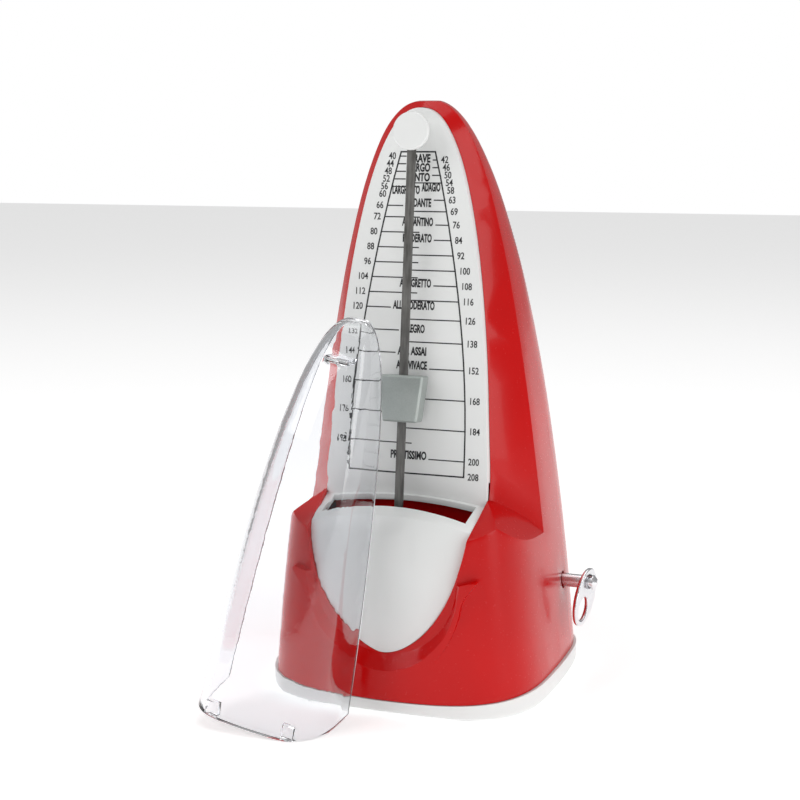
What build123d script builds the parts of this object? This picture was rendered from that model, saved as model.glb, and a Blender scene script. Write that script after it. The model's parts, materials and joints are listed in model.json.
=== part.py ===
from build123d import *
import os
from math import atan2, cos, degrees, hypot, pi, radians, sin, sqrt, tan

# Mechanical metronome: a tapering shell on a tray base, with a pendulum in front of a scale plate.
# X is the viewer's right, Y points to the back, Z up. The origin is the bottom centre of the base.

# ---- driving dimensions, millimetres and degrees ----
HEIGHT = 220.0  # table to the tip of the shell
HALF_WIDTH = 53.3  # shell, at the foot
HALF_FRONT = 54.0  # shell, foot to the front
HALF_BACK = 53.0  # shell, foot to the back
WALL = 2.2  # shell and cover moulding
LEAN = 6.0  # scale plate and pendulum lean back by this
CREASE_Y = -6.0  # the upright plane of the crease between the shell's sides and its rim
RIM_Y = -33.0  # the leaning plane in which the bevelled rim ends
PLATE_Y = -36.0  # the face of the scale plate
ROD_Y = -43.0  # the plane in which the pendulum swings
SEAM_Z = 5.5  # base seam at the middle of the front
SEAM_RISE = 3.0  # how far the seam climbs to the corners
SHOULDER_BACK = (-28.0, 75.5)  # y, z where the shoulder meets the rim
SHOULDER_FRONT = (-49.0, 66.0)
CROWN_Z = 27.75  # the shoulder falls away to the sides on a cylinder along Y
CROWN_RADIUS = 57.35
PANEL_TOP = 217.0
PANEL_WIDEST = 80.0
PANEL_TIP = 22.3
PANEL_HALF = 31.2
FIT = 0.15  # gap round a moulding that sits in an opening
LIP = (-41.0, 74.4)  # y, z of the apron's top edge
SLOT_HALF = 27.5
PIVOT_Z = 50.0
ROD_WIDTH = 3.2
ROD_THICK = 0.9
ROD_TOP_Z = 203.0
SWING = 25.0
WEIGHT_TOP_Z = 121.0  # the weight's reading edge at rest
KEY_Y = 15.0
KEY_Z = 37.0
KEY_TURN = 29.0  # how far the winding key is turned at rest

PLATE_LEFT_X = -18.0
PLATE_RIGHT_X = 24.0
PLATE_THICK = 1.5
FLOOR_Z = 3.8  # top of the base floor

BOSS_XY = 39.3  # screw bosses in the shell's corners
FOOT_XY = (29.0, 43.0)
SCREW = 1.25  # thread radius of the case and movement screws
PILOT = 1.3  # radius of the hole that such a screw bites into
SCREW_HEAD = 2.6
KEY_HOLE = 3.4
ARBOR = 1.2  # radius of the train's arbors
RUNNING = 0.05  # radial clearance of a running fit
WINDER = 3.0  # radius of the winding arbor
WINDING = (KEY_Y, KEY_Z)  # y, z of the winding axis
ESCAPE = (-14.0, 47.5)
GREAT_TEETH, SECOND_LEAVES, GREAT_MODULE = 60, 10, 0.6
SECOND_TEETH, ESCAPE_LEAVES, SECOND_MODULE = 50, 10, 0.5
POSTS = ((-22.5, -20.0), (-22.5, 26.0), (30.0, -20.0), (30.0, 26.0))  # x, y under the movement
POST_TOP = 14.0
PILLARS = ((-26.0, 18.0), (-26.0, 56.0), (32.0, 18.0), (32.0, 56.0))  # y, z of the movement pillars
COCK_SCREW = (-26.6, 50.0)
BACK_SCREW = (4.5, 46.0)
BRIDGE_POSTS = ((-22.0, 47.5), (-12.0, 56.0))
COUNTER_DROP = 29.0  # pivot down to the counterweight's centre
COUNTER_RADIUS = 15.0
CATCH_Z = 208.5
BRIDGE_X = (10.8, 12.2)
COVER_TALL = 144.2
COVER_HALF = 25.8
COVER_DEEP = 29.4
COVER_WALL = 1.8
COVER_LEAN = 0.09  # how its open back falls away as it rises
COVER_RISE = 4.4  # its foot climbs this much from front to back
COVER_CORNER = 0.5  # 2 / the power of its superellipse sections
COVER_PLACE = Pos(-35.6, -60.4, 1.0) * Rot(0, 0, -2.4) * Rot(-2.3, 0, 0) * Rot(0, 9.0, 0)  # lifted off
SPRING_POST = (32.4, 37.0)
PENDULUM_ARBOR = 1.5
WEIGHT_TALL = 17.0

SLOPE = tan(radians(LEAN))
FACE_NORMAL = (0, -cos(radians(LEAN)), sin(radians(LEAN)))
GREAT_SPAN = GREAT_MODULE * (GREAT_TEETH + SECOND_LEAVES) / 2 + 0.15
SECOND_SPAN = SECOND_MODULE * (SECOND_TEETH + ESCAPE_LEAVES) / 2 + 0.12
PENDULUM = Plane(origin=(0, ROD_Y + SLOPE * PIVOT_Z, PIVOT_Z), x_dir=(1, 0, 0), z_dir=FACE_NORMAL)
FROM_BASE = (Align.CENTER, Align.CENTER, Align.MIN)


def leaning(y, z=0.0):
    """A plane that leans back with the scale; its x is X, its y runs up the plate, its z to the viewer."""
    return Plane(origin=(0, y, z), x_dir=(1, 0, 0), z_dir=FACE_NORMAL)


def side(x):
    """A plane across the object; its x is Y and its y is Z."""
    return Plane(origin=(x, 0, 0), x_dir=(0, 1, 0), z_dir=(1, 0, 0))


# ---- outlines ----
def tower_half(z, half_width, height):
    return half_width * (1 - z / height) ** 0.4


def tower_front(z, half_front, height):
    return -half_front * (1 - (z / height) ** 2) ** 0.4


def tower_back(z, half_back, height):
    return half_back * (1 - (z / height) ** 2.2) ** 0.72


def tower_points(z, inset, height):
    """A rounded-square section of the tapering body."""
    power = 2 / (3.7 - 1.2 * (z / height) ** 3)
    half = tower_half(z, HALF_WIDTH - inset, height)
    front = tower_front(z, HALF_FRONT - inset, height)
    back = tower_back(z, HALF_BACK - inset, height)
    points = []
    for step in range(32):
        turn = 2 * pi * (step + 0.5) / 32
        across = abs(cos(turn)) ** power * (1 if cos(turn) > 0 else -1)
        along = abs(sin(turn)) ** power * (1 if sin(turn) > 0 else -1)
        points.append((half * across, (front + back) / 2 + (back - front) / 2 * along))
    return points


def tower(inset, height, highest=0.9985):
    """The tapering body: sections that close in an ogive."""
    steps = 12
    levels = [height * (1 - (1 - step / steps) ** 2) for step in range(steps)]
    levels.append(height * highest)
    with BuildPart() as body:
        for z in levels:
            with BuildSketch(Plane.XY.offset(z)):
                with BuildLine():
                    Spline(tower_points(z, inset, height), periodic=True)
                make_face()
        loft()
    return body.part


def panel_half(z, spare=0.0):
    """Half width of the white panel's outline at height z."""
    if z >= PANEL_WIDEST:
        share = z / (PANEL_TOP + spare)
        return (PANEL_HALF / 0.9647 + spare) * max(0.0, 1 - share ** 2.6) ** 0.46
    share = (PANEL_WIDEST - z) / (PANEL_WIDEST - PANEL_TIP + spare)
    return (PANEL_HALF + spare) * max(0.0, 1 - share ** 2.1) ** 0.58


def panel_outline(spare=0.0):
    """Points of the panel's outline, widest at the waist, round at the top and at the tip."""
    top = PANEL_TOP + spare
    tip = PANEL_TIP - spare
    right = []
    for step in range(1, 8):
        z = PANEL_WIDEST - (PANEL_WIDEST - tip) * sin(step / 8 * pi / 2)
        right.insert(0, (panel_half(z, spare), z))
    right.append((PANEL_HALF + spare, PANEL_WIDEST))
    for step in range(1, 12):
        z = PANEL_WIDEST + (top - PANEL_WIDEST) * sin(step / 12 * pi / 2)
        right.append((panel_half(z, spare), z))
    left = [(-x, z) for x, z in reversed(right)]
    return [(0, tip)] + right + [(0, top)] + left


def upright_prism(points, y_from, y_to):
    """The outline, drawn on the front, taken straight back from y_from to y_to."""
    with BuildPart() as prism:
        with BuildSketch(Plane(origin=(0, y_from, 0), x_dir=(1, 0, 0), z_dir=(0, -1, 0))):
            with BuildLine():
                Spline(points, periodic=True)
            make_face()
        extrude(amount=y_from - y_to)
    return prism.part


def wheel_sketch(teeth, module, phase, centre):
    """A toothed wheel's profile with straight flanks; phase is the direction of one tooth, in degrees."""
    outer = module * (teeth / 2 + 0.8)
    root = module * (teeth / 2 - 1.15)
    pitch = pi * module
    tooth = [(root - 0.1, -0.27 * pitch), (outer, -0.11 * pitch), (outer, 0.11 * pitch), (root - 0.1, 0.27 * pitch)]
    with Locations(centre):
        Circle(root)
        with PolarLocations(0, teeth, start_angle=phase):
            Polygon(*tooth, align=None)


def rod_x(x_from, x_to, centre, radius, mode=Mode.ADD):
    """A cylinder along X, in the part in hand; centre is its y and z."""
    with Locations(Plane(origin=(x_from, *centre), x_dir=(0, 1, 0), z_dir=(1, 0, 0))):
        Cylinder(radius, x_to - x_from, align=FROM_BASE, mode=mode)


def rod_z(z_from, z_to, centre, radius, mode=Mode.ADD):
    """An upright cylinder; centre is its x and y."""
    with Locations((*centre, z_from)):
        Cylinder(radius, z_to - z_from, align=FROM_BASE, mode=mode)


def rod_swing(n_from, n_to, centre, radius, mode=Mode.ADD):
    """A cylinder along the pendulum's axis; centre is its x and its height along the pendulum."""
    with Locations(PENDULUM.location * Location((*centre, n_from))):
        Cylinder(radius, n_to - n_from, align=FROM_BASE, mode=mode)


def block(low, high, mode=Mode.ADD):
    """A box between two corners."""
    with Locations(tuple((a + b) / 2 for a, b in zip(low, high))):
        Box(*[b - a for a, b in zip(low, high)], mode=mode)


def swing_block(low, high, mode=Mode.ADD):
    """A box in the pendulum's own frame."""
    with Locations(PENDULUM.location * Location(tuple((a + b) / 2 for a, b in zip(low, high)))):
        Box(*[b - a for a, b in zip(low, high)], mode=mode)


def direction(start, end):
    return degrees(atan2(end[1] - start[1], end[0] - start[0]))


def save(node, label):
    node.part.label = label
    export_step(node.part, f"parts/{label}.step")


os.makedirs("parts", exist_ok=True)

# ---- forms that several mouldings share ----
outer_tower = tower(0.0, HEIGHT)
inner_tower = tower(WALL, HEIGHT - 2.6)


def shoulder_region():
    """Everything in front of the crease plane and above the crowned shoulder."""
    top = HEIGHT + 20
    reach = -80.0
    with BuildPart() as region:
        with BuildSketch(side(-80)):
            with BuildLine():
                FilletPolyline(
                    (CREASE_Y, top),
                    (CREASE_Y, SHOULDER_BACK[1] + 6),
                    SHOULDER_BACK,
                    SHOULDER_FRONT,
                    (-52.6, 57.0),
                    (-56.0, 30.0),
                    radius=(3.0, 8.0, 6.0, 4.0),
                )
                Polyline((-56.0, 30.0), (reach, 30.0), (reach, top), (CREASE_Y, top))
            make_face()
        extrude(amount=160)
    with BuildPart() as crown:
        with BuildSketch(Plane(origin=(0, CREASE_Y, 0), x_dir=(1, 0, 0), z_dir=(0, -1, 0))):
            with Locations((0, (top + CROWN_Z) / 2)):
                Rectangle(160, top - CROWN_Z)
            with Locations((0, CROWN_Z)):
                Circle(CROWN_RADIUS, mode=Mode.SUBTRACT)
        extrude(amount=CREASE_Y - reach)
        add(region.part)
    return crown.part


def rim_frustum():
    """The bevelled rim's flanks: from the crease outline in to the panel's outline."""
    rise = 1 / cos(radians(LEAN))
    levels = [45, 70, 95, 120, 145, 168, 188, 203, 213]
    crease = [(tower_half(z, HALF_WIDTH, HEIGHT) + 0.3, z) for z in levels]
    panel = [(panel_half(max(z, PANEL_WIDEST)), z * rise) for z in levels]
    upright = Plane(origin=(0, CREASE_Y, 0), x_dir=(1, 0, 0), z_dir=(0, -1, 0))
    with BuildPart() as frustum:
        for plane, half, top in ((upright, crease, HEIGHT + 0.3), (leaning(RIM_Y), panel, PANEL_TOP * rise)):
            left = [(-x, y) for x, y in reversed(half)]
            with BuildSketch(plane):
                with BuildLine():
                    arch = Spline(half + [(0, top)] + left)
                    Line(arch @ 1, arch @ 0)
                make_face()
        loft(ruled=True)
    return frustum.part


shoulder = shoulder_region()
with BuildPart() as front_cutter:
    add(shoulder)
    add(rim_frustum(), mode=Mode.SUBTRACT)


def seam_form(lowered=0.0):
    """Everything above the base seam, which climbs from the middle of the front to the corners."""
    radius = HALF_WIDTH**2 / (2 * SEAM_RISE)
    with BuildPart() as above:
        with BuildSketch(Plane(origin=(0, -80, 0), x_dir=(1, 0, 0), z_dir=(0, -1, 0))):
            with Locations((0, SEAM_Z - lowered + radius)):
                Circle(radius)
            with Locations((0, SEAM_Z - lowered + radius + HEIGHT + 20)):
                Rectangle(3 * radius, 2 * radius, mode=Mode.SUBTRACT)
        extrude(amount=-160)
    return above.part


def shell():
    """The red shell: tower, rim, shoulder, panel opening, a dish round the apron and four screw bosses."""
    with BuildPart() as hollow:
        add(inner_tower)
        add(Pos(0, 2.6, -2.4) * front_cutter.part, mode=Mode.SUBTRACT)
    with BuildPart() as dish:
        for y, flare in ((-50.4, 0.0), (-54.6, 7.0)):
            with BuildSketch(Plane(origin=(0, y, 0), x_dir=(1, 0, 0), z_dir=(0, -1, 0))):
                with BuildLine():
                    Spline(dish_outline(flare), periodic=True)
                make_face()
        loft(ruled=True)
    with BuildPart() as backing:
        add(upright_prism(dish_outline(9.0)[:-3] + [(-34, 50), (0, 44), (34, 50)], -53.2, -47.0))
    with BuildPart() as body:
        add(outer_tower)
        add(front_cutter.part, mode=Mode.SUBTRACT)
        add(hollow.part, mode=Mode.SUBTRACT)
        add(backing.part)
        add(upright_prism(panel_outline(FIT), -70, -5), mode=Mode.SUBTRACT)
        add(dish.part, mode=Mode.SUBTRACT)
        add(seam_form(), mode=Mode.INTERSECT)
        for x in (-BOSS_XY, BOSS_XY):
            for y in (-BOSS_XY, BOSS_XY):
                rod_z(9.2, 22, (x, y), 4)
                rod_z(9, 20, (x, y), PILOT, Mode.SUBTRACT)
        rod_x(40, 60, WINDING, KEY_HOLE, Mode.SUBTRACT)
    return body


def dish_outline(flare):
    """The apron's lower outline, let out downwards by flare."""
    top = 52.0
    half = panel_half(top, FIT)
    deep = top - PANEL_TIP + FIT + flare
    side_out = half + 0.35 * flare
    points = []
    for step in range(1, 16):
        turn = pi * step / 16
        points.append((side_out * cos(turn), top - deep * sin(turn) ** 0.9))
    return points + [(-side_out, top + 4), (0, top + 10), (side_out, top + 4)]


def base():
    """The white tray: a band under the shell, a lip inside it, and posts for the case and movement."""
    with BuildPart() as tray:
        with BuildSketch(Plane.XY.offset(0.8)):
            with BuildLine():
                Spline(tower_points(0, 0, HEIGHT), periodic=True)
            make_face()
        extrude(amount=11)
        fillet(tray.faces().sort_by(Axis.Z)[0].edges(), 1.6)
        add(seam_form(0.25), mode=Mode.SUBTRACT)
        with BuildSketch(Plane.XY.offset(FLOOR_Z)):
            with BuildLine():
                Spline(tower_points(11, 2.5, HEIGHT), periodic=True)
            make_face()
        extrude(amount=11 - FLOOR_Z)
        with BuildSketch(Plane.XY.offset(FLOOR_Z)):
            with BuildLine():
                Spline(tower_points(11, 4.2, HEIGHT), periodic=True)
            make_face()
        extrude(amount=20, mode=Mode.SUBTRACT)
        for x in (-BOSS_XY, BOSS_XY):
            for y in (-BOSS_XY, BOSS_XY):
                rod_z(FLOOR_Z - 0.5, 6, (x, y), 4.2)
                rod_z(FLOOR_Z, 9, (x, y), 2.4)
                rod_z(0, 9.5, (x, y), PILOT + 0.2, Mode.SUBTRACT)
                rod_z(0, 4.6, (x, y), SCREW_HEAD + 0.3, Mode.SUBTRACT)
                rod_z(9, 12, (x, y), 4.3, Mode.SUBTRACT)
        for x in (-FOOT_XY[0], FOOT_XY[0]):
            for y in (-FOOT_XY[1], FOOT_XY[1]):
                rod_z(0, 2.5, (x, y), 5.05, Mode.SUBTRACT)
        for post in POSTS:
            rod_z(FLOOR_Z - 0.5, POST_TOP, post, 3.5)
            rod_z(5.5, POST_TOP + 1, post, PILOT, Mode.SUBTRACT)
    return tray


def base_feet():
    with BuildPart() as feet:
        with BuildSketch(Plane.XY):
            with GridLocations(2 * FOOT_XY[0], 2 * FOOT_XY[1], 2, 2):
                Circle(5)
        extrude(amount=2.5)
        fillet(feet.faces().group_by(Axis.Z)[0].edges(), 0.6)
    return feet


def screws(planes, shank, radius=SCREW, head=SCREW_HEAD, thick=1.7):
    """Round-headed slotted screws; each plane lies under a head and looks away from the thread."""
    with BuildPart() as group:
        for plane in planes:
            with BuildSketch(plane):
                Circle(head)
            extrude(amount=thick, taper=12)
            with BuildSketch(plane):
                Circle(radius)
            extrude(amount=-shank)
            with BuildSketch(plane.offset(thick - 0.6)):
                Rectangle(2.5 * head, 0.6)
            extrude(amount=1, mode=Mode.SUBTRACT)
    return group


def base_screws():
    corners = [(x, y) for x in (-BOSS_XY, BOSS_XY) for y in (-BOSS_XY, BOSS_XY)]
    return screws([Plane(origin=(x, y, 4.5), z_dir=(0, 0, -1)) for x, y in corners], 14)


def movement_screws():
    return screws([Plane(origin=(x, y, POST_TOP + PLATE_THICK + 0.02)) for x, y in POSTS], 9)


def pillar_screws():
    left = PLATE_LEFT_X - 0.02
    right = PLATE_RIGHT_X + PLATE_THICK + 0.02
    planes = [Plane(origin=(left, y, z), z_dir=(-1, 0, 0)) for y, z in PILLARS]
    planes += [Plane(origin=(right, y, z), z_dir=(1, 0, 0)) for y, z in PILLARS + BRIDGE_POSTS]
    return screws(planes, 5, 1.0, 2.2, 1.3)


def cock_screws():
    left = PLATE_LEFT_X - PLATE_THICK - 0.04
    right = PLATE_RIGHT_X + 2 * PLATE_THICK + 0.04
    planes = [Plane(origin=(left, *COCK_SCREW), z_dir=(-1, 0, 0)), Plane(origin=(right, *COCK_SCREW), z_dir=(1, 0, 0))]
    planes.append(Plane(origin=(PLATE_LEFT_X - 0.02, *BACK_SCREW), z_dir=(-1, 0, 0)))
    return screws(planes, 2.9, 1.0, 2.0, 1.2)


def panel_profile(drop, back):
    """Outer line of the white panel in a side view, from the foot of the apron to the top of the plate."""
    front = -51.5 + back
    plate = PLATE_Y + 0.35
    return [
        (front + 1.6, PANEL_TIP - 8),
        (front, 50.0 - drop),
        (front + 1.6, 66.0 - drop),
        (LIP[0] - 5.0 + 0.5 * back, LIP[1] - 2.2 - drop),
        (LIP[0] + 0.3 * back, LIP[1] - drop),
        (plate + SLOPE * 76.5 + 0.5, 76.2 - 0.6 * drop),
        (PLATE_Y + SLOPE * 84, 84.0),
        (PLATE_Y + SLOPE * (PANEL_TOP + 5), PANEL_TOP + 5),
    ]


def front_panel():
    """The white panel: the scale plate and the bulging apron in one moulding, with the pendulum's slot."""
    reach = PANEL_HALF + 1.0
    with BuildPart() as sheet:
        for x, drop, back in ((-reach, 5.0, 3.2), (-reach / 2, 1.3, 0.8), (0, 0.0, 0.0), (reach / 2, 1.3, 0.8), (reach, 5.0, 3.2)):
            outer = panel_profile(drop, back)
            inner = [(outer[0][0] + 2, outer[0][1])] + [(y + 1.8, z - 1.4) for y, z in outer[1:-3]]
            inner += [(outer[-3][0] + 1.2, outer[-3][1] - 2.0), (outer[-2][0] + 2, outer[-2][1] - 1.0)]
            inner.append((outer[-1][0] + 2, outer[-1][1]))
            with BuildSketch(side(x)):
                with BuildLine():
                    Polyline(*outer, *reversed(inner), close=True)
                make_face()
        loft()
    with BuildPart() as skirt:
        add(upright_prism(panel_outline(), -60, 0))
        add(upright_prism(panel_outline(-2.0), -61, 1), mode=Mode.SUBTRACT)
        with BuildSketch(side(-40)):
            low, high = 82.0, PANEL_TOP + 8
            with BuildLine():
                Polyline(
                    (PLATE_Y + 1 + SLOPE * low, low),
                    (PLATE_Y + 5.5 + SLOPE * low, low),
                    (PLATE_Y + 5.5 + SLOPE * high, high),
                    (PLATE_Y + 1 + SLOPE * high, high),
                    close=True,
                )
            make_face()
        extrude(amount=80, mode=Mode.INTERSECT)
    with BuildPart() as panel:
        add(upright_prism(panel_outline(), -70, 0))
        add(sheet.part, mode=Mode.INTERSECT)
        add(skirt.part)
        block((-SLOT_HALF, LIP[0], 60), (SLOT_HALF, -28.5, 90), Mode.SUBTRACT)
        add(rod_catch_peg(2.55), mode=Mode.SUBTRACT)
    return panel


def rod_catch_peg(radius):
    with BuildPart() as peg:
        with BuildSketch(leaning(PLATE_Y + 4)):
            with Locations((0, CATCH_Z / cos(radians(LEAN)))):
                Circle(radius)
        extrude(amount=6)
    return peg.part


def rod_catch():
    """The mushroom at the top that the rod's tip parks behind."""
    up = CATCH_Z / cos(radians(LEAN))
    with BuildPart() as catch:
        for y, radius, length in ((PLATE_Y + 3, 2.5, 3.2), (PLATE_Y, 4.0, 7.9), (-43.7, 6.9, 1.9)):
            with BuildSketch(leaning(y)):
                with Locations((0, up)):
                    Circle(radius)
            extrude(amount=length)
        fillet(catch.faces().sort_by(Axis.Y)[0].edges(), 0.9)
    return catch


def slot_liner():
    """The strip that closes the case behind the slot."""
    with BuildPart() as liner:
        with BuildSketch(Plane(origin=(0, -25.4, 0), x_dir=(1, 0, 0), z_dir=(0, -1, 0))):
            with BuildLine():
                Polyline((-28, 70.8), (-28, 60), (28, 60), (28, 70.8))
                ThreePointArc((28, 70.8), (0, 74.5), (-28, 70.8))
            make_face()
        extrude(amount=-1.2)
    return liner


# ---- movement ----
def second_centre():
    """Where the second arbor stands, in mesh with the great wheel and the escape pinion, lower choice."""
    span = hypot(WINDING[0] - ESCAPE[0], WINDING[1] - ESCAPE[1])
    along = (SECOND_SPAN**2 - GREAT_SPAN**2 + span**2) / (2 * span)
    aside = sqrt(SECOND_SPAN**2 - along**2)
    unit = ((WINDING[0] - ESCAPE[0]) / span, (WINDING[1] - ESCAPE[1]) / span)
    return (ESCAPE[0] + along * unit[0] + aside * unit[1], ESCAPE[1] + along * unit[1] - aside * unit[0])


SECOND = second_centre()


def plate_blank(x, outward):
    """A movement plate with two foot tabs that turn outwards."""
    edge = x if outward < 0 else x + PLATE_THICK
    tab = edge + outward * 9.0
    post_x = POSTS[0][0] if outward < 0 else POSTS[2][0]
    block((x, -28.5, POST_TOP), (x + PLATE_THICK, 36, 60))
    for y in (POSTS[0][1], POSTS[1][1]):
        block((min(edge, tab), y - 6, POST_TOP), (max(edge, tab), y + 6, POST_TOP + PLATE_THICK))
        rod_z(POST_TOP - 1, POST_TOP + 2, (post_x, y), PILOT + 0.1, Mode.SUBTRACT)
    for centre in PILLARS + (COCK_SCREW,):
        rod_x(x - 1, x + 3, centre, 1.05, Mode.SUBTRACT)
    rod_x(x - 1, x + 3, WINDING, WINDER + RUNNING, Mode.SUBTRACT)
    rod_x(x - 1, x + 3, SECOND, 2.22, Mode.SUBTRACT)


def movement_plate_left():
    with BuildPart() as plate:
        plate_blank(PLATE_LEFT_X, -1)
        rod_x(PLATE_LEFT_X - 1, PLATE_LEFT_X + 3, BACK_SCREW, 1.05, Mode.SUBTRACT)
        rod_x(PLATE_LEFT_X - 1, PLATE_LEFT_X + 3, SPRING_POST, 1.22, Mode.SUBTRACT)
    return plate


def movement_plate_right():
    with BuildPart() as plate:
        plate_blank(PLATE_RIGHT_X, 1)
        rod_x(PLATE_RIGHT_X - 1, PLATE_RIGHT_X + 3, ESCAPE, 2.22, Mode.SUBTRACT)
        for centre in BRIDGE_POSTS:
            rod_x(PLATE_RIGHT_X - 1, PLATE_RIGHT_X + 3, centre, 1.05, Mode.SUBTRACT)
    return plate


def movement_pillars():
    """Four turned pillars between the plates, tapped at both ends."""
    with BuildPart() as pillars:
        for centre in PILLARS:
            rod_x(PLATE_LEFT_X + PLATE_THICK, PLATE_RIGHT_X, centre, 2.2)
            for x in (PLATE_LEFT_X + PLATE_THICK - 1, PLATE_RIGHT_X - 5):
                rod_x(x, x + 6, centre, 1.02, Mode.SUBTRACT)
    return pillars


def bridge_posts():
    with BuildPart() as posts:
        for centre in BRIDGE_POSTS:
            rod_x(BRIDGE_X[1], PLATE_RIGHT_X, centre, 1.9)
            rod_x(PLATE_RIGHT_X - 5, PLATE_RIGHT_X + 1, centre, 1.02, Mode.SUBTRACT)
    return posts


def escape_bridge():
    """The small plate that carries the inner pivot of the escape arbor."""
    with BuildPart() as bridge:
        with BuildSketch(side(BRIDGE_X[0])):
            with Locations(*BRIDGE_POSTS, ESCAPE):
                Circle(3.2)
            make_hull()
        extrude(amount=BRIDGE_X[1] - BRIDGE_X[0])
        rod_x(BRIDGE_X[0] - 1, BRIDGE_X[1] + 1, ESCAPE, 2.22, Mode.SUBTRACT)
    return bridge


def front_cock():
    """The bar across the front of the plates that carries the pendulum's front bearing."""
    left = PLATE_LEFT_X - 0.02
    right = PLATE_RIGHT_X + PLATE_THICK + 0.02
    with BuildPart() as cock:
        block((left - PLATE_THICK, -30.1, 42.5), (right + PLATE_THICK, -28.6, 52.5))
        block((left - PLATE_THICK, -30.1, 42.5), (left, -24.5, 52.5))
        block((right, -30.1, 42.5), (right + PLATE_THICK, -24.5, 52.5))
        rod_x(left - 3, right + 3, COCK_SCREW, 1.05, Mode.SUBTRACT)
        rod_swing(-12, -3, (0, 0), PENDULUM_ARBOR + RUNNING, Mode.SUBTRACT)
    return cock


def back_cock():
    """The bracket on the left plate that carries the pendulum's back bearing."""
    inner = PLATE_LEFT_X + PLATE_THICK + 0.02
    with BuildPart() as cock:
        block((inner, -1.9, 41.5), (4, -0.4, 50.5))
        block((inner, -1.9, 41.5), (inner + PLATE_THICK, 9, 50.5))
        rod_x(inner - 1, inner + 2, BACK_SCREW, 1.02, Mode.SUBTRACT)
        rod_swing(-42, -33, (0, 0), PENDULUM_ARBOR + RUNNING, Mode.SUBTRACT)
    return cock


def plate_bushes():
    """Brass bushes pressed into the plates and the bridge for the train's pivots."""
    right = PLATE_RIGHT_X - 0.5
    seats = ((PLATE_LEFT_X, 2.0, SECOND), (right, 2.0, SECOND), (right, 2.0, ESCAPE), (BRIDGE_X[0], 1.8, ESCAPE))
    with BuildPart() as bushes:
        for x, length, centre in seats:
            rod_x(x, x + length, centre, 2.2)
            rod_x(x - 1, x + length + 1, centre, ARBOR + RUNNING, Mode.SUBTRACT)
    return bushes


def spiral(turns, start, pitch):
    points = []
    for step in range(8 * turns + 1):
        turn = 2 * pi * step / 8
        radius = start + pitch * step / 8
        points.append((WINDING[0] + radius * cos(turn), WINDING[1] + radius * sin(turn)))
    return points


def mainspring():
    """The wound strip that drives the movement."""
    turns = 7
    pitch = 1.62
    with BuildPart() as strip:
        with BuildSketch(side(-14)):
            with BuildLine():
                inner = Spline(*spiral(turns, WINDER + 0.4, pitch))
                outer = Spline(*spiral(turns, WINDER + 0.8, pitch))
                Line(inner @ 0, outer @ 0)
                Line(inner @ 1, outer @ 1)
            make_face()
        extrude(amount=10)
    return strip


def spring_post():
    with BuildPart() as post:
        rod_x(PLATE_LEFT_X, -3, SPRING_POST, 1.2)
        rod_x(PLATE_LEFT_X + PLATE_THICK + 0.02, -3, SPRING_POST, 1.8)
    return post


def great_wheel():
    with BuildPart() as wheel:
        with BuildSketch(side(18.5)):
            wheel_sketch(GREAT_TEETH, GREAT_MODULE, direction(WINDING, SECOND), WINDING)
        extrude(amount=1.5)
        rod_x(18, 21, WINDING, WINDER + RUNNING, Mode.SUBTRACT)
        for turn in (0, 60, 180, 240, 300):
            rod_x(18, 21, around(WINDING, 10.5, turn), 3.0, Mode.SUBTRACT)
        rod_x(18, 21, CLICK_PIVOT, 1.02, Mode.SUBTRACT)
        rod_x(18, 21, around(WINDING, 15.2, 95), 0.62, Mode.SUBTRACT)
    return wheel


def around(centre, radius, turn):
    """The point at this radius and direction, in degrees, from centre."""
    return (centre[0] + radius * cos(radians(turn)), centre[1] + radius * sin(radians(turn)))


CLICK_PIVOT = around(WINDING, 12.0, 120)


def ratchet_wheel():
    """Saw-toothed wheel on the winding arbor."""
    teeth = 16
    points = []
    for tooth in range(teeth):
        points.append(around(WINDING, 7.5, 360 * tooth / teeth))
        points.append(around(WINDING, 6.2, 360 * (tooth + 0.12) / teeth))
    with BuildPart() as wheel:
        with BuildSketch(side(16.2)):
            Polygon(*points, align=None)
            with Locations(WINDING):
                Circle(WINDER + 0.02, mode=Mode.SUBTRACT)
        extrude(amount=1.4)
    return wheel


def click():
    """The pawl that drops behind the ratchet's teeth."""
    tip = around(WINDING, 8.0, 78)
    with BuildPart() as pawl:
        with BuildSketch(side(16.3)):
            with Locations(CLICK_PIVOT):
                Circle(2.0)
            with Locations(tip):
                Circle(0.3)
            make_hull()
            with Locations(CLICK_PIVOT):
                Circle(1.0 + RUNNING, mode=Mode.SUBTRACT)
        extrude(amount=1.4)
    return pawl


def click_screw():
    """A shouldered screw, the click's pivot, with a thin head that clears the second wheel."""
    with BuildPart() as screw:
        rod_x(16.1, 20.6, CLICK_PIVOT, 1.0)
        rod_x(15.4, 16.1, CLICK_PIVOT, 2.2)
        low = (15.0, CLICK_PIVOT[0] - 3, CLICK_PIVOT[1] - 0.3)
        block(low, (15.65, CLICK_PIVOT[0] + 3, CLICK_PIVOT[1] + 0.3), Mode.SUBTRACT)
    return screw


def click_spring():
    """A bent wire that presses the click down: a leg riveted through the wheel and an arm along the click."""
    foot = around(WINDING, 15.2, 95)
    arm = around(WINDING, 12.6, 92)
    with BuildPart() as wire:
        rod_x(16.6, 20.4, foot, 0.6)
        with BuildSketch(side(16.6)):
            with Locations(foot, arm):
                Circle(0.3)
            make_hull()
        extrude(amount=0.8)
    return wire


def winding_arbor():
    with BuildPart() as arbor:
        rod_x(PLATE_LEFT_X - 1.2, 27, WINDING, WINDER)
    return arbor


def arbor_collar():
    with BuildPart() as collar:
        rod_x(20.2, 21.8, WINDING, 5)
        rod_x(20, 22, WINDING, WINDER + 0.02, Mode.SUBTRACT)
    return collar


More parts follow.
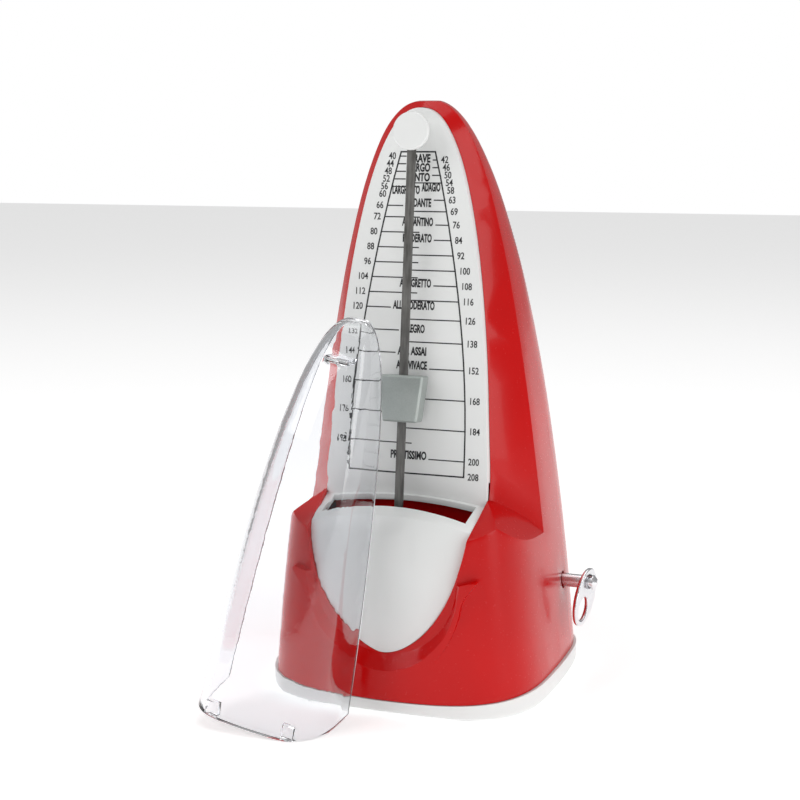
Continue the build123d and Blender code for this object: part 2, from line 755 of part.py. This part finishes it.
def key_shaft():
    """The shaft from the arbor out through the shell, with a waist for the bow and a conical tip."""
    with BuildPart() as shaft:
        rod_x(27, 57.5, WINDING, 2.6)
        rod_x(57.5, 61.2, WINDING, 2.0)
        with BuildSketch(side(61.2)):
            with Locations(WINDING):
                Circle(2.9)
        extrude(amount=0.4)
        with BuildSketch(side(61.6)):
            with Locations(WINDING):
                Circle(2.9)
        extrude(amount=1.4, taper=50)
    return shaft


def key_bow():
    """The flat oval bow, hung on the shaft's waist near its upper end, with an oval eye."""
    droop = radians(15)
    turn = radians(KEY_TURN)
    outward = Vector(cos(droop), -sin(droop), 0)
    across = Vector(0, 0, 1).cross(outward)
    down = across * -sin(turn) + Vector(0, 0, -cos(turn))
    plane = Plane(origin=(59.4, *WINDING), x_dir=down, z_dir=outward).offset(-0.8)
    with BuildPart() as bow:
        with BuildSketch(plane):
            with Locations((6.0, 0)):
                Ellipse(11.5, 7.0)
            with Locations((10.8, 0)):
                Ellipse(4.75, 3.25, mode=Mode.SUBTRACT)
            Circle(2.3, mode=Mode.SUBTRACT)
        extrude(amount=1.6)
        chamfer(bow.edges().filter_by(GeomType.ELLIPSE), 0.3)
    return bow


def second_arbor():
    with BuildPart() as arbor:
        rod_x(PLATE_LEFT_X - 0.8, PLATE_RIGHT_X + PLATE_THICK + 0.8, SECOND, ARBOR)
    return arbor


def train_wheel(x, thick, teeth, module, phase, centre, bore):
    with BuildPart() as wheel:
        with BuildSketch(side(x)):
            wheel_sketch(teeth, module, phase, centre)
            with Locations(centre):
                Circle(bore, mode=Mode.SUBTRACT)
        extrude(amount=thick)
    return wheel


def second_pinion():
    phase = direction(SECOND, WINDING) + 180 / SECOND_LEAVES
    return train_wheel(17.4, 3.7, SECOND_LEAVES, GREAT_MODULE, phase, SECOND, ARBOR + 0.02)


def second_wheel():
    return train_wheel(14, 1.2, SECOND_TEETH, SECOND_MODULE, direction(SECOND, ESCAPE), SECOND, ARBOR + 0.02)


def escape_arbor():
    with BuildPart() as arbor:
        rod_x(8.2, PLATE_RIGHT_X + PLATE_THICK + 0.8, ESCAPE, ARBOR)
    return arbor


def escape_pinion():
    phase = direction(ESCAPE, SECOND) + 180 / ESCAPE_LEAVES
    return train_wheel(13, 4, ESCAPE_LEAVES, SECOND_MODULE, phase, ESCAPE, ARBOR + 0.02)


def escape_wheel():
    """The crown wheel: slanted teeth stand on a ring and point at the pendulum's arbor."""
    with BuildPart() as wheel:
        rod_x(5.8, 9.8, ESCAPE, 9.1)
        rod_x(5.7, 8.6, ESCAPE, 7.9, Mode.SUBTRACT)
        with Locations(Plane(origin=(6.2, *ESCAPE), x_dir=(0, 1, 0), z_dir=(1, 0, 0))):
            with PolarLocations(8.5, 15):
                Box(3, 2.3, 2.6, rotation=(25, 0, 0), mode=Mode.SUBTRACT)
        rod_x(5, 10, ESCAPE, ARBOR + 0.02, Mode.SUBTRACT)
    return wheel


# ---- pendulum ----
def pendulum_rod():
    """The flat strip that carries both weights; its tip is round."""
    top = (ROD_TOP_Z - PIVOT_Z) / cos(radians(LEAN))
    with BuildPart() as rod:
        swing_block((-ROD_WIDTH / 2, -38, -ROD_THICK / 2), (ROD_WIDTH / 2, top, ROD_THICK / 2))
        fillet(rod.edges().filter_by(Axis(PENDULUM.origin, FACE_NORMAL)).group_by(Axis.Z)[-1], 1.4)
    return rod


def pendulum_hub():
    """The boss that clamps the rod to its arbor."""
    with BuildPart() as hub:
        rod_swing(-4, 1.5, (0, 0), 4)
        swing_block((-1.62, -5, -0.47), (1.62, 5, 0.47), Mode.SUBTRACT)
        rod_swing(-5, -0.47, (0, 0), PENDULUM_ARBOR + 0.02, Mode.SUBTRACT)
    return hub


def pendulum_arbor():
    with BuildPart() as arbor:
        rod_swing(-38.6, -0.5, (0, 0), PENDULUM_ARBOR)
    return arbor


def pallets():
    """Two collets on the arbor, each with a flag that the crown wheel's teeth push in turn."""
    with BuildPart() as pair:
        for n, turn in ((-14.83, 50), (-32.93, -50)):
            rod_swing(n - 2.5, n + 2.5, (0, 0), 2.4)
            with Locations(PENDULUM.location * Location((0, 0, n), (0, 0, turn))):
                Box(6.0, 1.0, 3.5, align=(Align.MIN, Align.CENTER, Align.CENTER))
            rod_swing(n - 4, n + 4, (0, 0), PENDULUM_ARBOR + 0.02, Mode.SUBTRACT)
    return pair


def counterweight():
    """The brass disc under the pivot."""
    with BuildPart() as disc:
        rod_swing(-8.3, 3.2, (0, -COUNTER_DROP), COUNTER_RADIUS)
        fillet(disc.edges().filter_by(GeomType.CIRCLE), 0.8)
        swing_block((-1.62, -38.05, -0.47), (1.62, 0, 0.47), Mode.SUBTRACT)
        rod_swing(0.3, 4, (0, -COUNTER_DROP), 1.32, Mode.SUBTRACT)
    return disc


def counterweight_screw():
    plane = Plane(PENDULUM.location * Location((0, -COUNTER_DROP, 3.22)))
    return screws([plane], 2.7, 1.3, 2.8, 1.4)


def weight_half(share):
    """Half width of the sliding weight, from its foot (0) to its top (1)."""
    return 6.6 + 2.0 * share


def sliding_weight():
    """The pressed tempo weight: a tapered case open at its back, gripping the rod."""
    top = (WEIGHT_TOP_Z - PIVOT_Z) / cos(radians(LEAN))
    foot = top - WEIGHT_TALL
    with BuildPart() as case:
        with BuildSketch(PENDULUM.offset(-3.2)):
            Polygon((-weight_half(0), foot), (weight_half(0), foot), (weight_half(1), top), (-weight_half(1), top), align=None)
        extrude(amount=6.4)
        fillet(case.edges().filter_by(Axis(PENDULUM.origin, FACE_NORMAL)), 0.8)
        chamfer(case.faces().filter_by(Plane(PENDULUM.location)).sort_by(Axis.Y)[0].edges(), 0.7)
        swing_block((-5.2, foot + 1.4, -3.3), (5.2, top - 1.4, -0.6), Mode.SUBTRACT)
        swing_block((-ROD_WIDTH / 2 - 0.08, foot - 1, -0.53), (ROD_WIDTH / 2 + 0.08, top + 1, 0.53), Mode.SUBTRACT)
    return case


def weight_spring():
    """The bowed leaf that presses on the back of the rod."""
    top = (WEIGHT_TOP_Z - PIVOT_Z) / cos(radians(LEAN))
    middle = top - WEIGHT_TALL / 2
    reach = WEIGHT_TALL / 2 - 1.6
    with BuildPart() as leaf:
        with BuildSketch(Plane(PENDULUM.location * Location((-1.4, 0, 0), (0, 90, 0)))):
            with BuildLine():
                near = ThreePointArc((2.6, middle - reach), (0.6, middle), (2.6, middle + reach))
                far = ThreePointArc((3.0, middle - reach), (1.0, middle), (3.0, middle + reach))
                Line(near @ 0, far @ 0)
                Line(near @ 1, far @ 1)
            make_face()
        extrude(amount=2.8)
    return leaf


def cover_solid(inset):
    """The cover's bulging form, upright on its foot, before it is hollowed and cut off behind."""
    tall = COVER_TALL - inset
    steps = 12
    with BuildPart() as form:
        for step in range(steps + 1):
            share = min(1 - (1 - step / steps) ** 2, 0.9985)
            half = (COVER_HALF - inset) * (1 - share**1.05) ** 0.35
            deep = (COVER_DEEP - inset) * (1 - share**2.12) ** 0.46
            points = []
            for turn in (2 * pi * (corner + 0.5) / 32 for corner in range(32)):
                across = abs(cos(turn)) ** COVER_CORNER * (1 if cos(turn) > 0 else -1)
                along = abs(sin(turn)) ** COVER_CORNER * (1 if sin(turn) > 0 else -1)
                points.append((half * across, COVER_LEAN * share * tall + deep * along))
            with BuildSketch(Plane.XY.offset(share * tall)):
                with BuildLine():
                    Spline(points, periodic=True)
                make_face()
        loft()
    return form.part


def clear_cover():
    """The cover, lifted off and stood on the table against the front left of the case."""
    with BuildPart() as shell_form:
        add(cover_solid(0.0))
        add(Pos(0, 0, -0.01) * cover_solid(COVER_WALL), mode=Mode.SUBTRACT)
        inner = COVER_WALL - COVER_DEEP - 0.5
        for x in (-15, 15):
            block((x - 2.5, inner, 0.5), (x + 2.5, inner + 3.0, 5.5))
        block((-4.5, -2.6, 128.5), (4.5, 6.5, 130.5))
        with BuildSketch(side(-60)):
            with BuildLine():
                Polyline((0.4, COVER_RISE), (COVER_LEAN * 160, 160), (-60, 160), (-60, -4.6), close=True)
            make_face()
        extrude(amount=120, mode=Mode.INTERSECT)
    with BuildPart() as cover:
        add(COVER_PLACE * shell_form.part)
    return cover


PIECES = (
    shell,
    base,
    base_feet,
    base_screws,
    front_panel,
    rod_catch,
    slot_liner,
    movement_plate_left,
    movement_plate_right,
    movement_pillars,
    pillar_screws,
    movement_screws,
    front_cock,
    cock_screws,
    back_cock,
    escape_bridge,
    bridge_posts,
    plate_bushes,
    mainspring,
    spring_post,
    great_wheel,
    click,
    click_screw,
    click_spring,
    winding_arbor,
    ratchet_wheel,
    arbor_collar,
    key_shaft,
    key_bow,
    second_arbor,
    second_pinion,
    second_wheel,
    escape_arbor,
    escape_pinion,
    escape_wheel,
    pendulum_rod,
    pendulum_hub,
    pendulum_arbor,
    pallets,
    counterweight,
    counterweight_screw,
    sliding_weight,
    weight_spring,
    clear_cover,
)
for piece in PIECES:
    save(piece(), piece.__name__)
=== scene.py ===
import json
import math

import bpy
from mathutils import Matrix, Vector

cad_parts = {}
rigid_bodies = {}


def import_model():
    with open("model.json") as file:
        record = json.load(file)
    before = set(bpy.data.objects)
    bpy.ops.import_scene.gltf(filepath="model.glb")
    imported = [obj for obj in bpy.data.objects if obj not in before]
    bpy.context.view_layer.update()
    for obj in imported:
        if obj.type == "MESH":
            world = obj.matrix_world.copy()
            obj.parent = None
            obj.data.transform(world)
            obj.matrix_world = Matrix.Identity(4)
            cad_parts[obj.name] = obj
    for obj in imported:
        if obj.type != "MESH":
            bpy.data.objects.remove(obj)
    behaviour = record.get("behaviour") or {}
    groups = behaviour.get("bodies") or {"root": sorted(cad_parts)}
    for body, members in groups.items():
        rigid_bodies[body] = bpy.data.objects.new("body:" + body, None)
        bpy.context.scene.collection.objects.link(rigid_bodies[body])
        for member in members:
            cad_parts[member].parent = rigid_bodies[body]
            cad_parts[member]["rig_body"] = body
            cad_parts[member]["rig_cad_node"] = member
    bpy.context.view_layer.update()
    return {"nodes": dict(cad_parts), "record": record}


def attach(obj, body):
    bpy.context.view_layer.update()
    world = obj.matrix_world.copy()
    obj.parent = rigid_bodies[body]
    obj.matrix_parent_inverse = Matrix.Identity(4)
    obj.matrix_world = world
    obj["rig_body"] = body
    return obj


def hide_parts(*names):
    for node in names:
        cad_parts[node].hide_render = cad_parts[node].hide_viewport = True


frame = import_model()

# ---- sizes, in metres unless they say otherwise ----
MM = 0.001
LEAN = math.radians(6)  # the scale plate and the pendulum lean back
PLATE_Y = -36.0 * MM  # the plate's face where it would meet the table
PRINT_LIFT = 0.04 * MM  # the ink's foot is just inside the plate
PRINT_THICK = 0.10 * MM
RAIL = 0.55 * MM  # width of the scale's two side lines
MARK = 0.42 * MM  # width of its cross lines
PRINT_BASE = 80 * MM  # the height at which a flat drawing of the scale starts
BEVEL_ANGLE = 28  # degrees; sharper edges are rounded
BEVEL_SEGMENTS = 3
SMOOTH_ANGLE = 40  # degrees

UP_PLATE = Vector((0, math.sin(LEAN), math.cos(LEAN)))
OUT_OF_PLATE = Vector((0, -math.cos(LEAN), math.sin(LEAN)))


# ---- materials ----
class Value:
    """A node's output, on which arithmetic adds Math nodes."""

    def __init__(self, finish, socket):
        self.finish = finish
        self.socket = socket

    def math(self, operation, *inputs):
        return self.finish.node("ShaderNodeMath", {"operation": operation}, dict(enumerate(inputs)))

    def __add__(self, other):
        return self.math("ADD", self, other)

    def __sub__(self, other):
        return self.math("SUBTRACT", self, other)

    def __mul__(self, other):
        return self.math("MULTIPLY", self, other)

    def over(self, level, softness):
        """0 below the level, 1 above it, with a soft step between."""
        return self.math("MULTIPLY_ADD", self - level, 1 / softness, 0.5).math_clamped()

    def math_clamped(self):
        return self.finish.node("ShaderNodeClamp", {}, {0: self})


class Finish:
    """A material in the making: its shader's constants, and one way to add any other node."""

    def __init__(self, name, colour, roughness, **constants):
        self.material = bpy.data.materials.new(name)
        self.material.use_nodes = True
        self.tree = self.material.node_tree
        self.shader = self.tree.nodes["Principled BSDF"]
        self.shader.inputs["Base Color"].default_value = (*colour, 1)
        self.shader.inputs["Roughness"].default_value = roughness
        for socket, value in constants.items():
            self.shader.inputs[socket.replace("_", " ")].default_value = value
        self.place = self.node("ShaderNodeTexCoord", {}, {}, "Object")

    def node(self, kind, settings, inputs, output=0):
        made = self.tree.nodes.new(kind)
        stops = settings.pop("stops", None)
        for key, value in settings.items():
            setattr(made, key, value)
        if stops:
            ramp = made.color_ramp.elements
            for index, (position, colour) in enumerate(stops):
                stop = ramp[index] if index < 2 else ramp.new(position)
                stop.position = position
                stop.color = (*colour, 1)
        for key, value in inputs.items():
            if isinstance(value, Value):
                self.tree.links.new(value.socket, made.inputs[key])
            else:
                made.inputs[key].default_value = value
        return Value(self, made.outputs[output])

    def noise(self, scale, detail=3.0, stretch=(1, 1, 1)):
        place = self.node("ShaderNodeMapping", {}, {"Vector": self.place, "Scale": stretch})
        return self.node("ShaderNodeTexNoise", {}, {"Vector": place, "Scale": scale, "Detail": detail})

    def shades(self, factor, *stops):
        return self.node("ShaderNodeValToRGB", {"stops": stops}, {0: factor})

    def bump(self, height, distance, strength=1.0):
        inputs = {"Height": height, "Distance": distance, "Strength": strength}
        self.feed("Normal", self.node("ShaderNodeBump", {}, inputs))

    def feed(self, socket, value):
        self.tree.links.new(value.socket, self.shader.inputs[socket])


def glossy_plastic(name, colour, dark, rough, coat=0.0, shine=0.5):
    """Moulded plastic: a faint flow in its colour, wiping haze in its gloss, a slow ripple in its face."""
    finish = Finish(name, colour, rough, Specular_IOR_Level=shine, IOR=1.49, Coat_Roughness=0.04)
    finish.shader.inputs["Coat Weight"].default_value = coat
    flow = finish.noise(26, 2)
    finish.feed("Base Color", finish.shades(flow, (0.3, dark), (0.7, colour)))
    haze = finish.noise(60, 4, (1, 1, 0.35))
    specks = finish.noise(900, 2).over(0.68, 0.08)
    finish.feed("Roughness", haze * 0.10 + specks * 0.12 + (rough - 0.05))
    ripple = finish.noise(55, 1) * 0.8 + finish.noise(1500, 2) * 0.05
    finish.bump(ripple, 0.00022, 0.35)
    return finish.material


def brushed_metal(name, colour, dark, rough, grain, depth=0.00004):
    """Metal with a drawn grain: streaks stretched along one direction, and stains in its gloss."""
    finish = Finish(name, colour, rough, Metallic=1.0)
    streak = finish.noise(900, 3, grain)
    cloud = finish.noise(120, 4)
    mix = streak * 0.6 + cloud * 0.4
    finish.feed("Base Color", finish.shades(mix, (0.35, dark), (0.65, colour)))
    finish.feed("Roughness", streak * 0.22 + cloud * 0.12 + (rough - 0.17))
    finish.bump(streak, depth, 0.6)
    return finish.material


def weight_finish():
    """Fine blasted metal under a thin grey lacquer."""
    finish = Finish("weight_metal", (0.42, 0.455, 0.44), 0.42, Metallic=0.55)
    grain = finish.noise(2600, 2)
    cloud = finish.noise(90, 3)
    dark, pale = (0.36, 0.395, 0.38), (0.48, 0.52, 0.50)
    finish.feed("Base Color", finish.shades(grain * 0.5 + cloud * 0.5, (0.3, dark), (0.7, pale)))
    finish.feed("Roughness", grain * 0.2 + cloud * 0.1 + 0.28)
    finish.bump(grain, 0.00003, 0.5)
    return finish.material


def clear_finish():
    """Clear moulded acrylic, a little blue in its thickness, with faint flow lines."""
    finish = Finish("clear_acrylic", (0.965, 0.975, 1.0), 0.02, IOR=1.47, Transmission_Weight=1.0)
    flow = finish.noise(40, 2, (1, 1, 0.3))
    finish.feed("Roughness", flow * 0.03 + 0.005)
    finish.bump(flow, 0.0001, 0.25)
    return finish.material


def rubber_finish():
    finish = Finish("foot_rubber", (0.02, 0.02, 0.02), 0.8)
    grain = finish.noise(1800, 3)
    dark, pale = (0.012, 0.012, 0.012), (0.035, 0.035, 0.035)
    finish.feed("Base Color", finish.shades(grain, (0.35, dark), (0.7, pale)))
    finish.feed("Roughness", grain * 0.3 + 0.6)
    finish.bump(grain, 0.0001, 0.6)
    return finish.material


def ink_finish():
    """Printed black, slightly uneven in cover and gloss."""
    finish = Finish("printed_ink", (0.012, 0.012, 0.014), 0.45)
    cover = finish.noise(2200, 3)
    dark, pale = (0.008, 0.008, 0.010), (0.035, 0.035, 0.038)
    finish.feed("Base Color", finish.shades(cover, (0.35, dark), (0.72, pale)))
    finish.feed("Roughness", cover * 0.3 + 0.3)
    return finish.material


RED = glossy_plastic("red_plastic", (0.60, 0.001, 0.001), (0.52, 0.0008, 0.0008), 0.20, 0.12, 0.22)
WHITE = glossy_plastic("white_plastic", (0.86, 0.87, 0.86), (0.82, 0.83, 0.82), 0.30)
CLEAR = clear_finish()
RUBBER = rubber_finish()
INK = ink_finish()
WEIGHT = weight_finish()
ROD = brushed_metal("rod_steel", (0.25, 0.245, 0.235), (0.12, 0.118, 0.11), 0.42, (1, 1, 0.08))
CHROME = brushed_metal("chrome_plate", (0.83, 0.83, 0.85), (0.74, 0.74, 0.76), 0.20, (0.4, 1, 1), 0.00001)
ZINC = brushed_metal("zinc_steel", (0.58, 0.59, 0.61), (0.42, 0.43, 0.45), 0.38, (1, 1, 1))
STAMPED = brushed_metal("stamped_steel", (0.56, 0.56, 0.56), (0.44, 0.44, 0.44), 0.36, (1, 0.06, 1))
BRASS = brushed_metal("satin_brass", (0.80, 0.58, 0.25), (0.62, 0.42, 0.15), 0.34, (1, 1, 1))
BLUED = brushed_metal("blued_steel", (0.10, 0.12, 0.20), (0.05, 0.06, 0.11), 0.30, (1, 1, 1))

BY_SLOT = {
    "red_plastic": RED,
    "white_plastic": WHITE,
    "clear_plastic": CLEAR,
    "foot_rubber": RUBBER,
    "zinc_steel": ZINC,
    "rod_steel": ROD,
    "weight_metal": WEIGHT,
    "chrome": CHROME,
    "brass": BRASS,
    "spring_steel": BLUED,
    "plate_steel": STAMPED,
}
SLOT_OF = {part["node"]: part["material_slot"] for part in frame["record"]["subparts"]}
BODY_OF = {
    node: body for body, nodes in frame["record"]["behaviour"]["bodies"].items() for node in nodes
}


def dress(obj, material):
    obj.data.materials.clear()
    obj.data.materials.append(material)


for name, node in frame["nodes"].items():
    dress(node, BY_SLOT[SLOT_OF[name]])


# ---- modelling helpers ----
def pick(obj):
    """obj alone is selected and active."""
    bpy.ops.object.select_all(action="DESELECT")
    obj.select_set(True)
    bpy.context.view_layer.objects.active = obj


def apply_modifier(obj, kind, **settings):
    pick(obj)
    modifier = obj.modifiers.new(kind.lower(), kind)
    for key, value in settings.items():
        setattr(modifier, key, value)
    bpy.ops.object.modifier_apply(modifier=modifier.name)


def smooth(obj):
    pick(obj)
    bpy.ops.object.shade_smooth_by_angle(angle=math.radians(SMOOTH_ANGLE))


def softened(node, name, width):
    """A copy of a CAD node with its edges rounded, standing for the node."""
    obj = frame["nodes"][node].copy()
    obj.data = obj.data.copy()
    obj.name = name
    obj.parent = None
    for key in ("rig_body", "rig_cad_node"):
        del obj[key]
    bpy.context.scene.collection.objects.link(obj)
    pick(obj)
    bpy.ops.object.mode_set(mode="EDIT")
    bpy.ops.mesh.select_all(action="SELECT")
    bpy.ops.mesh.remove_doubles(threshold=0.005 * MM)
    bpy.ops.mesh.dissolve_limited(angle_limit=math.radians(0.5))
    bpy.ops.object.mode_set(mode="OBJECT")
    apply_modifier(
        obj,
        "BEVEL",
        width=width,
        segments=BEVEL_SEGMENTS,
        limit_method="ANGLE",
        angle_limit=math.radians(BEVEL_ANGLE),
        miter_outer="MITER_ARC",
        use_clamp_overlap=True,
    )
    smooth(obj)
    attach(obj, BODY_OF[node])
    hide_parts(node)
    return obj


def bake_place(obj, matrix):
    """The object's place goes into its mesh, so that it sits at the origin."""
    obj.data.transform(matrix @ obj.matrix_world)
    obj.matrix_world = Matrix.Identity(4)
    obj.data.update()


def joined(pieces, name):
    bpy.ops.object.select_all(action="DESELECT")
    for piece in pieces:
        piece.select_set(True)
    bpy.context.view_layer.objects.active = pieces[0]
    if len(pieces) > 1:
        bpy.ops.object.join()
    obj = bpy.context.view_layer.objects.active
    obj.name = name
    return obj


def on_plate(height):
    """The matrix that lays a flat drawing, made in X and Y, on the scale plate at this height."""
    foot = Vector((0, PLATE_Y + math.tan(LEAN) * height, height)) - PRINT_LIFT * OUT_OF_PLATE
    turn = Matrix((Vector((1, 0, 0)), UP_PLATE, OUT_OF_PLATE)).transposed()
    return Matrix.Translation(foot) @ turn.to_4x4()


def bar(start, end, width):
    """A thin printed line between two points of the plate, given by x and height."""
    low = Vector((start[0], (start[1] - PRINT_BASE) / math.cos(LEAN)))
    high = Vector((end[0], (end[1] - PRINT_BASE) / math.cos(LEAN)))
    along = high - low
    bpy.ops.mesh.primitive_cube_add(size=1)
    line = bpy.context.object
    line.scale = (along.length, width, PRINT_THICK)
    line.rotation_euler = (0, 0, math.atan2(along.y, along.x))
    line.location = (*((low + high) / 2), PRINT_THICK / 2)
    bpy.context.view_layer.update()
    bake_place(line, on_plate(PRINT_BASE))
    return line


def lettering(text, x, height, size, squeeze, align, bold):
    """A printed word or number on the plate; x is where it starts, ends or is centred."""
    bpy.ops.object.text_add()
    word = bpy.context.object
    word.data.body = text
    word.data.align_x = align
    word.data.align_y = "CENTER"
    word.data.size = size
    word.data.offset = bold
    word.data.extrude = PRINT_THICK / 2
    word.data.resolution_u = 3
    bpy.ops.object.convert(target="MESH")
    word = bpy.context.object
    word.data.transform(Matrix.Diagonal((squeeze, 1, 1, 1)))
    place = Matrix.Translation((x, (height - PRINT_BASE) / math.cos(LEAN), PRINT_THICK / 2))
    bake_place(word, on_plate(PRINT_BASE) @ place)
    return word


def finished(obj, material, body):
    dress(obj, material)
    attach(obj, body)
    return obj


# ---- the printed scale ----
SCALE_TOP = 201.1 * MM
SCALE_FOOT = 84.0 * MM
LEFT_TEMPOS = (40, 44, 48, 52, 56, 60, 66, 72, 80, 88, 96, 104, 112, 120, 132, 144, 160, 176, 192)
RIGHT_TEMPOS = (42, 46, 50, 54, 58, 63, 69, 76, 84, 92, 100, 108, 116, 126, 138, 152, 168, 184, 200)
# each word, its height, half width and centre, in mm
WORDS = (
    ("GRAVE", 198.6, 4.2, 0.6),
    ("LARGO", 195.3, 4.2, 0.6),
    ("LENTO", 191.8, 4.2, 0.6),
    ("LARGHETTO", 187.2, 5.3, -4.2),
    ("ADAGIO", 188.2, 3.6, 5.5),
    ("ANDANTE", 182.6, 5.0, 0.8),
    ("ANDANTINO", 175.7, 6.0, 0.8),
    ("MODERATO", 169.8, 5.6, 0.8),
    ("ALLEGRETTO", 153.5, 6.1, 0.8),
    ("ALL. MODERATO", 145.4, 8.1, 0.5),
    ("ALLEGRO", 136.9, 4.6, 0.5),
    ("ALL. ASSAI", 128.7, 5.6, 0.5),
    ("ALL. VIVACE", 123.6, 6.0, 0.5),
    ("PRESTO", 117.6, 4.4, 0.5),
    ("PRESTISSIMO", 90.6, 7.0, 0.5),
)


HEIGHT_AT_ZERO = 227.0  # mm, where a tempo of 0 would lie
DROP_PER_BEAT = 0.687  # mm
RAIL_TOP_HALF = 6.6  # mm
RAIL_SPREAD = 15.6  # mm more at the foot
RAIL_STEPS = 14
RAIL_LAP = 0.15 * MM  # each length of a side line runs on past the next one's start
PAST_MIDDLE = 1.6 * MM  # how far a line with no word runs beyond the middle
WORD_REACH = 1.5 * MM  # a line this near a word's height stops at the word
WORD_GAP = 0.9  # mm between a line and its word
SHORTEST = 0.6 * MM
NUMBER_GAP = 1.5 * MM
NUMBER_SIZE = 3.5 * MM
NUMBER_SQUEEZE = 0.8
NUMBER_BOLD = 0.05 * MM
WORD_SIZE = 4.1 * MM
WORD_BOLD = 0.16 * MM


def tempo_height(tempo):
    """Where a tempo's mark lies: the rate falls evenly as the weight goes up."""
    return (HEIGHT_AT_ZERO - DROP_PER_BEAT * tempo) * MM


def rail_half(height):
    """Half width of the scale's frame: it widens downwards, more slowly as it goes."""
    drop = (SCALE_TOP - height) / (SCALE_TOP - SCALE_FOOT)
    return (RAIL_TOP_HALF + RAIL_SPREAD * math.sin(min(drop * 1.06, 1) * math.pi / 2) ** 0.92) * MM


def rails():
    pieces = []
    tall = SCALE_TOP - SCALE_FOOT
    heights = [SCALE_TOP - tall * step / RAIL_STEPS for step in range(RAIL_STEPS + 1)]
    for sign in (-1, 1):
        for high, low in zip(heights, heights[1:]):
            start, end = (sign * rail_half(high), high), (sign * rail_half(low), low - RAIL_LAP)
            pieces.append(bar(start, end, RAIL))
    for height in (SCALE_TOP, SCALE_FOOT):
        reach = rail_half(height) + RAIL / 2
        pieces.append(bar((-reach, height), (reach, height), RAIL))
    return joined(pieces, "scale_rails")


def marks():
    """A line for each tempo from its rail to the middle, or to the word that stands there."""
    pieces = []
    for sign, tempos in ((-1, LEFT_TEMPOS), (1, RIGHT_TEMPOS)):
        for tempo in tempos:
            height = tempo_height(tempo)
            stop = -sign * PAST_MIDDLE
            for word, level, half, centre in WORDS:
                if abs(level * MM - height) < WORD_REACH:
                    stop = (centre + sign * (half + WORD_GAP)) * MM
            if sign * stop < rail_half(height) - SHORTEST:
                pieces.append(bar((sign * rail_half(height), height), (stop, height), MARK))
    return joined(pieces, "scale_marks")


def numbers():
    pieces = []
    for sign, tempos in ((-1, LEFT_TEMPOS), (1, RIGHT_TEMPOS + (208,))):
        for tempo in tempos:
            height = tempo_height(tempo)
            align = "RIGHT" if sign < 0 else "LEFT"
            x = sign * (rail_half(height) + NUMBER_GAP)
            number = lettering(str(tempo), x, height, NUMBER_SIZE, NUMBER_SQUEEZE, align, NUMBER_BOLD)
            pieces.append(number)
    return joined(pieces, "scale_numbers")


def tempo_words():
    pieces = []
    for text, height, half, centre in WORDS:
        word = lettering(text, 0, height * MM, WORD_SIZE, 1.0, "CENTER", WORD_BOLD)
        width = word.dimensions.x
        word.data.transform(Matrix.Diagonal((2 * half * MM / width, 1, 1, 1)))
        word.data.transform(Matrix.Translation((centre * MM, 0, 0)))
        pieces.append(word)
    return joined(pieces, "scale_words")


for draw in (rails, marks, numbers, tempo_words):
    finished(draw(), INK, "root")

# ---- mouldings with rounded edges ----
softened("shell", "case_shell", 0.9 * MM)
softened("front_panel", "scale_panel", 0.7 * MM)
softened("base", "tray_base", 0.4 * MM)
softened("rod_catch", "catch_button", 0.3 * MM)
softened("clear_cover", "dust_cover", 0.35 * MM)
softened("sliding_weight", "tempo_slider", 0.35 * MM)
softened("key_bow", "winding_bow", 0.25 * MM)

# ---- camera, floor and lights ----
CAMERA_PLACE = Vector((0.1944, -0.5567, 0.2046))
CAMERA_TURN = math.radians(20.4)
CAMERA_DIP = math.radians(9.39)
LENS = 70.2  # mm
SENSOR = 36  # mm
FLOOR_GLOW = 0.42
SKY_LIGHT = 0.36  # what lights the part
SKY_SEEN = 1.0  # what the camera sees
AIM = (0, 0, 0.1)  # where the lamps point

camera_data = bpy.data.cameras.new("camera")
camera_data.lens = LENS
camera_data.sensor_width = SENSOR
camera = bpy.data.objects.new("camera", camera_data)
camera.location = CAMERA_PLACE
camera.rotation_euler = (math.pi / 2 - CAMERA_DIP, 0, CAMERA_TURN)
bpy.context.scene.collection.objects.link(camera)
bpy.context.scene.camera = camera


def floor():
    bpy.ops.mesh.primitive_plane_add(size=8, location=(0, 0, -0.0002))
    plane = bpy.context.object
    plane.name = "floor"
    finish = Finish("floor_white", (0.93, 0.93, 0.93), 0.55)
    finish.feed("Roughness", finish.noise(40, 2) * 0.1 + 0.5)
    finish.shader.inputs["Emission Color"].default_value = (1, 1, 1, 1)
    finish.shader.inputs["Emission Strength"].default_value = FLOOR_GLOW
    dress(plane, finish.material)


def softbox(name, place, size, power):
    data = bpy.data.lights.new(name, "AREA")
    data.shape = "RECTANGLE"
    data.size, data.size_y = size
    data.energy = power
    lamp = bpy.data.objects.new(name, data)
    lamp.location = place
    lamp.rotation_euler = (Vector(AIM) - Vector(place)).to_track_quat("-Z", "Y").to_euler()
    bpy.context.scene.collection.objects.link(lamp)


floor()
softbox("key_light", (-0.9, -1.0, 1.1), (0.9, 0.9), 7.5)
softbox("side_light", (1.2, -0.3, 0.6), (0.5, 1.2), 5)
softbox("top_light", (0.1, 0.2, 1.5), (1.2, 1.2), 6)

world = bpy.data.worlds.new("studio")
bpy.context.scene.world = world
world.use_nodes = True
sky = world.node_tree.nodes["Background"]
sky.inputs["Color"].default_value = (1, 1, 1, 1)
seen = world.node_tree.nodes.new("ShaderNodeLightPath")
strength = world.node_tree.nodes.new("ShaderNodeMapRange")
strength.inputs["To Min"].default_value = SKY_LIGHT
strength.inputs["To Max"].default_value = SKY_SEEN
world.node_tree.links.new(seen.outputs["Is Camera Ray"], strength.inputs["Value"])
world.node_tree.links.new(strength.outputs["Result"], sky.inputs["Strength"])
bpy.context.scene.view_settings.view_transform = "Standard"
